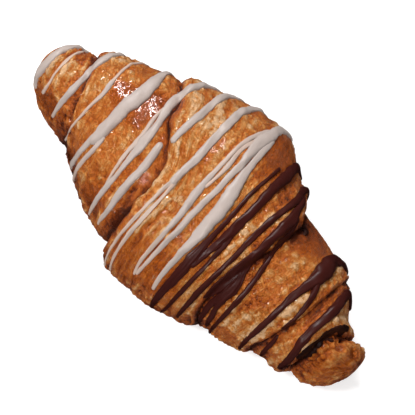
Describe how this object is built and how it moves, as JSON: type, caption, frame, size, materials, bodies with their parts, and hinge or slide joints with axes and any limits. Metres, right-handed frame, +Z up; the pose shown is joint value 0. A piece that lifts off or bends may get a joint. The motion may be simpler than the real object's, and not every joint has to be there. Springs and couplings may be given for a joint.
{
  "type": "drizzled croissant",
  "caption": "Baked croissant with a flaky glazed crust, drizzled with white icing at one end and dark chocolate at the other.",
  "frame": {"origin": "on the resting plane, under the centre of the bounding box", "axes": "+X along the croissant towards the chocolate end, +Y across it, +Z up from the flat underside to the crown"},
  "size_m": [0.155, 0.0794, 0.0492],
  "materials": {
    "crust": "egg-glazed baked crust, satin, with dry blistered flakes",
    "white_icing": "set sugar icing, satin",
    "dark_chocolate": "set dark chocolate, glossy",
    "filling": "baked-out chocolate filling, satin"
  },
  "bodies": {
    "root": {"pastry": "crust", "white_strand_1": "white_icing", "white_strand_2": "white_icing", "white_strand_3": "white_icing", "white_strand_4": "white_icing", "white_strand_5": "white_icing", "white_strand_6": "white_icing", "white_strand_7": "white_icing", "white_strand_8": "white_icing", "white_strand_9": "white_icing", "white_strand_10": "white_icing", "dark_strand_1": "dark_chocolate", "dark_strand_2": "dark_chocolate", "dark_strand_3": "dark_chocolate", "dark_strand_4": "dark_chocolate", "dark_strand_5": "dark_chocolate", "filling_leak_1": "filling", "filling_leak_2": "filling"}
  },
  "joints": []
}
